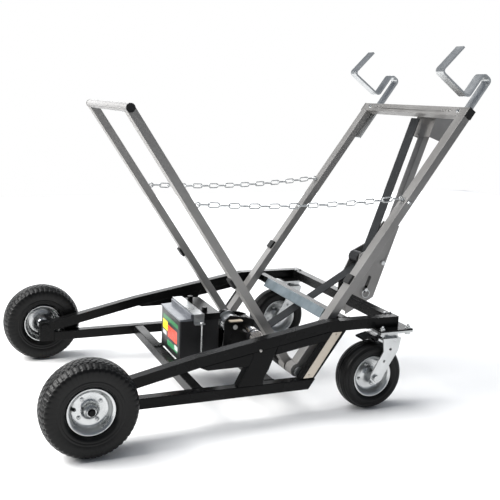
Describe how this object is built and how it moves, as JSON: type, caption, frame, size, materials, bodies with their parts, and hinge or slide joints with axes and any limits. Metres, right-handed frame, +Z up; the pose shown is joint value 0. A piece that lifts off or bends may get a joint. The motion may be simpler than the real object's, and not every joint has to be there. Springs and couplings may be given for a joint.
{
  "type": "powered kart lift stand",
  "caption": "Wheeled kart lift stand with a tilting V frame, cradle hooks, strap winch and battery on a black tube base.",
  "frame": {"origin": "floor level under the centre of the bounding box, on the middle plane", "axes": "+Z up; +X from the push bar and front wheels towards the castors and hooks; left is -Y"},
  "size_m": [1.4945, 0.908, 1.1217],
  "materials": {
    "frame_black": "gloss powder coat",
    "frame_silver": "satin silver powder coat",
    "frame_grey": "satin grey powder coat",
    "zinc": "bright zinc plate",
    "tyre": "matt",
    "black_plastic": "matt",
    "grey_plastic": "matt",
    "webbing": "woven",
    "motor_chrome": "polished",
    "trim": "brushed",
    "rubber": "matt"
  },
  "bodies": {
    "chassis": {"top_rail_left": "frame_black", "lower_rail_left": "frame_black", "mid_post_left": "frame_black", "rear_post_left": "frame_black", "axle_block_left": "frame_black", "castor_plate_left": "zinc", "top_rail_right": "frame_black", "lower_rail_right": "frame_black", "mid_post_right": "frame_black", "rear_post_right": "frame_black", "axle_block_right": "frame_black", "castor_plate_right": "zinc", "trim_plates": "trim", "rear_tube": "frame_black", "mid_tube": "frame_black", "front_tube": "frame_black", "winch_tube": "frame_black", "tray_bars": "frame_black", "battery_case": "black_plastic", "battery_lid": "grey_plastic", "battery_clamp": "zinc", "pivot_shaft": "zinc", "winch_frame": "frame_black", "winch_motor": "motor_chrome", "mast_tube": "frame_silver", "mast_foot": "frame_silver", "mast_pins": "zinc", "strap_lower": "webbing"},
    "drum": {"winch_drum": "zinc"},
    "knob": {"clutch_knob": "black_plastic"},
    "roller": {"guide_roller": "zinc"},
    "lift_frame": {"lift_arm_left": "frame_silver", "lift_arm_right": "frame_silver", "cross_bar": "frame_silver", "mast_hood": "frame_silver", "hook_left": "zinc", "hook_right": "zinc", "lift_fasteners": "zinc", "lift_rubbers": "rubber", "strap_upper": "webbing"},
    "push_frame": {"push_arm_left": "frame_grey", "push_arm_right": "frame_grey", "push_bar": "frame_silver", "push_hub": "frame_black", "push_fasteners": "zinc", "push_rubbers": "rubber", "chain_left": "zinc", "chain_right": "zinc"},
    "front_wheel_left": {"front_tyre_left": "tyre", "front_rim_left": "zinc"},
    "castor_left": {"castor_fork_left": "zinc"},
    "castor_wheel_left": {"castor_tyre_left": "tyre", "castor_rim_left": "zinc"},
    "brake_left": {"brake_pedal_left": "frame_black"},
    "front_wheel_right": {"front_tyre_right": "tyre", "front_rim_right": "zinc"},
    "castor_right": {"castor_fork_right": "zinc"},
    "castor_wheel_right": {"castor_tyre_right": "tyre", "castor_rim_right": "zinc"},
    "brake_right": {"brake_pedal_right": "frame_black"}
  },
  "joints": [
    {"name": "lift_tilt", "type": "hinge", "parent": "chassis", "child": "lift_frame", "pos_m": [0.04625, 0, 0.13], "axis": [0, -1, 0], "range_deg": [0, 54], "deforming": ["strap_upper"]},
    {"name": "push_fold", "type": "hinge", "parent": "lift_frame", "child": "push_frame", "pos_m": [0.04625, 0, 0.13], "axis": [0, 1, 0], "range_deg": [0, 60], "deforming": ["chain_left", "chain_right"]},
    {"name": "drum_spin", "type": "hinge", "parent": "chassis", "child": "drum", "pos_m": [-0.05175, 0, 0.197], "axis": [0, 1, 0], "continuous": true},
    {"name": "clutch_turn", "type": "hinge", "parent": "drum", "child": "knob", "pos_m": [-0.05175, 0, 0.197], "axis": [0, 1, 0], "range_deg": [0, 90]},
    {"name": "roller_spin", "type": "hinge", "parent": "chassis", "child": "roller", "pos_m": [0.42525, 0, 0.402], "axis": [0, 1, 0], "continuous": true},
    {"name": "front_spin_left", "type": "hinge", "parent": "chassis", "child": "front_wheel_left", "pos_m": [-0.61475, -0.408, 0.1325], "axis": [0, 1, 0], "continuous": true},
    {"name": "castor_swivel_left", "type": "hinge", "parent": "chassis", "child": "castor_left", "pos_m": [0.34125, -0.337, 0.235], "axis": [0, 0, 1], "continuous": true},
    {"name": "castor_spin_left", "type": "hinge", "parent": "castor_left", "child": "castor_wheel_left", "pos_m": [0.27925, -0.337, 0.107], "axis": [0, 1, 0], "continuous": true},
    {"name": "brake_press_left", "type": "hinge", "parent": "castor_left", "child": "brake_left", "pos_m": [0.28825, -0.337, 0.229], "axis": [0, -1, 0], "range_deg": [0, 6]},
    {"name": "front_spin_right", "type": "hinge", "parent": "chassis", "child": "front_wheel_right", "pos_m": [-0.61475, 0.408, 0.1325], "axis": [0, 1, 0], "continuous": true},
    {"name": "castor_swivel_right", "type": "hinge", "parent": "chassis", "child": "castor_right", "pos_m": [0.34125, 0.337, 0.235], "axis": [0, 0, 1], "continuous": true},
    {"name": "castor_spin_right", "type": "hinge", "parent": "castor_right", "child": "castor_wheel_right", "pos_m": [0.27925, 0.337, 0.107], "axis": [0, 1, 0], "continuous": true},
    {"name": "brake_press_right", "type": "hinge", "parent": "castor_right", "child": "brake_right", "pos_m": [0.28825, 0.337, 0.229], "axis": [0, -1, 0], "range_deg": [0, 6]}
  ],
  "couplings": [
    {"joint": "drum_spin", "follows": "lift_tilt", "ratio": -14.243},
    {"joint": "roller_spin", "follows": "lift_tilt", "ratio": -19.011}
  ]
}
